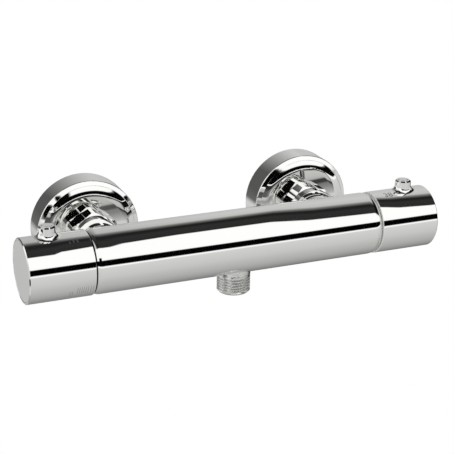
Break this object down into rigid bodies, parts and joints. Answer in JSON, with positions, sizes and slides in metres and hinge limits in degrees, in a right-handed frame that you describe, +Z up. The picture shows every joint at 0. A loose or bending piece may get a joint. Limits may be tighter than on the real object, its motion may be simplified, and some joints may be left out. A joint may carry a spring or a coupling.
{
  "type": "thermostatic shower valve",
  "caption": "Chromed bar shower valve on two eccentric wall unions, with a flow handle, a temperature handle and a hose outlet below.",
  "frame": {"origin": "on the finished wall's plane, midway between the axes of the two wall threads", "axes": "+X along the bar towards the temperature handle, +Y into the wall, +Z up"},
  "size_m": [0.2684, 0.1145, 0.0668],
  "materials": {
    "polished_chrome": "mirror-polished chrome plate",
    "machined_brass": "turned brass, lightly tarnished",
    "black_rubber": "moulded rubber, matt",
    "sealing_fibre": "pressed fibre, matt",
    "stainless_steel": "drawn stainless steel",
    "white_acetal": "moulded acetal, satin",
    "grey_polymer": "glass-filled moulding, matt",
    "lapped_ceramic": "lapped alumina, glossy"
  },
  "bodies": {
    "valve": {"valve_body": "polished_chrome", "outlet_nipple": "machined_brass", "outlet_seal": "black_rubber", "wall_flange_left": "polished_chrome", "eccentric_union_left": "machined_brass", "union_nut_left": "polished_chrome", "inlet_nipple_left": "machined_brass", "inlet_washer_left": "sealing_fibre", "inlet_filter_left": "stainless_steel", "check_valve_housing_left": "white_acetal", "check_valve_spring_left": "stainless_steel", "wall_flange_right": "polished_chrome", "eccentric_union_right": "machined_brass", "union_nut_right": "polished_chrome", "inlet_nipple_right": "machined_brass", "inlet_washer_right": "sealing_fibre", "inlet_filter_right": "stainless_steel", "check_valve_housing_right": "white_acetal", "check_valve_spring_right": "stainless_steel", "cartridge_housing": "grey_polymer", "cartridge_o_rings": "black_rubber", "cartridge_bonnet": "machined_brass", "cartridge_retaining_nut": "machined_brass", "return_spring": "stainless_steel", "temperature_stop_ring": "grey_polymer", "headwork_body": "machined_brass", "headwork_seat_seal": "black_rubber", "fixed_ceramic_disc": "lapped_ceramic", "flow_stop_ring": "grey_polymer"},
    "flow_handle": {"flow_handle": "polished_chrome", "flow_end_cap": "polished_chrome", "flow_handle_insert": "white_acetal", "flow_handle_screw": "stainless_steel", "flow_spindle": "machined_brass", "flow_spindle_seals": "black_rubber", "flow_spindle_clip": "stainless_steel", "moving_ceramic_disc": "lapped_ceramic", "flow_button_spring": "stainless_steel"},
    "flow_button": {"flow_button": "polished_chrome"},
    "temperature_handle": {"temperature_handle": "polished_chrome", "temperature_end_cap": "polished_chrome", "temperature_handle_insert": "white_acetal", "temperature_handle_screw": "stainless_steel", "temperature_spindle": "machined_brass", "temperature_spindle_seals": "black_rubber", "temperature_spindle_clip": "stainless_steel", "temperature_button_spring": "stainless_steel"},
    "temperature_button": {"temperature_button": "polished_chrome"},
    "regulator": {"regulating_screw": "machined_brass", "overload_plunger": "white_acetal", "overload_spring": "stainless_steel", "wax_element": "machined_brass", "regulating_shuttle": "white_acetal"},
    "check_valve_left": {"check_valve_poppet_left": "white_acetal"},
    "check_valve_right": {"check_valve_poppet_right": "white_acetal"}
  },
  "joints": [
    {"name": "flow_turn", "type": "hinge", "parent": "valve", "child": "flow_handle", "pos_m": [-0.114, -0.0767, -0.0008], "axis": [1, 0, 0], "range_deg": [0, 90]},
    {"name": "flow_button_press", "type": "slide", "parent": "flow_handle", "child": "flow_button", "axis": [0, 0, -1], "range_m": [0, 0.0022], "stiffness_N_per_m": 400, "springref_m": -0.002, "deforming": ["flow_button_spring"]},
    {"name": "temperature_turn", "type": "hinge", "parent": "valve", "child": "temperature_handle", "pos_m": [0.114, -0.0767, -0.0008], "axis": [1, 0, 0], "range_deg": [-180, 90]},
    {"name": "temperature_button_press", "type": "slide", "parent": "temperature_handle", "child": "temperature_button", "axis": [0, 0, -1], "range_m": [0, 0.0022], "stiffness_N_per_m": 400, "springref_m": -0.002, "deforming": ["temperature_button_spring"]},
    {"name": "regulator_slide", "type": "slide", "parent": "valve", "child": "regulator", "axis": [1, 0, 0], "range_m": [-0.00101, 0.00051], "deforming": ["return_spring"]},
    {"name": "check_valve_left_open", "type": "slide", "parent": "valve", "child": "check_valve_left", "axis": [0, -1, 0], "range_m": [0, 0.003], "stiffness_N_per_m": 20, "springref_m": -0.003, "deforming": ["check_valve_spring_left"]},
    {"name": "check_valve_right_open", "type": "slide", "parent": "valve", "child": "check_valve_right", "axis": [0, -1, 0], "range_m": [0, 0.003], "stiffness_N_per_m": 20, "springref_m": -0.003, "deforming": ["check_valve_spring_right"]}
  ],
  "couplings": [
    {"joint": "regulator_slide", "follows": "temperature_turn", "m_per_rad": 0.00031831}
  ]
}
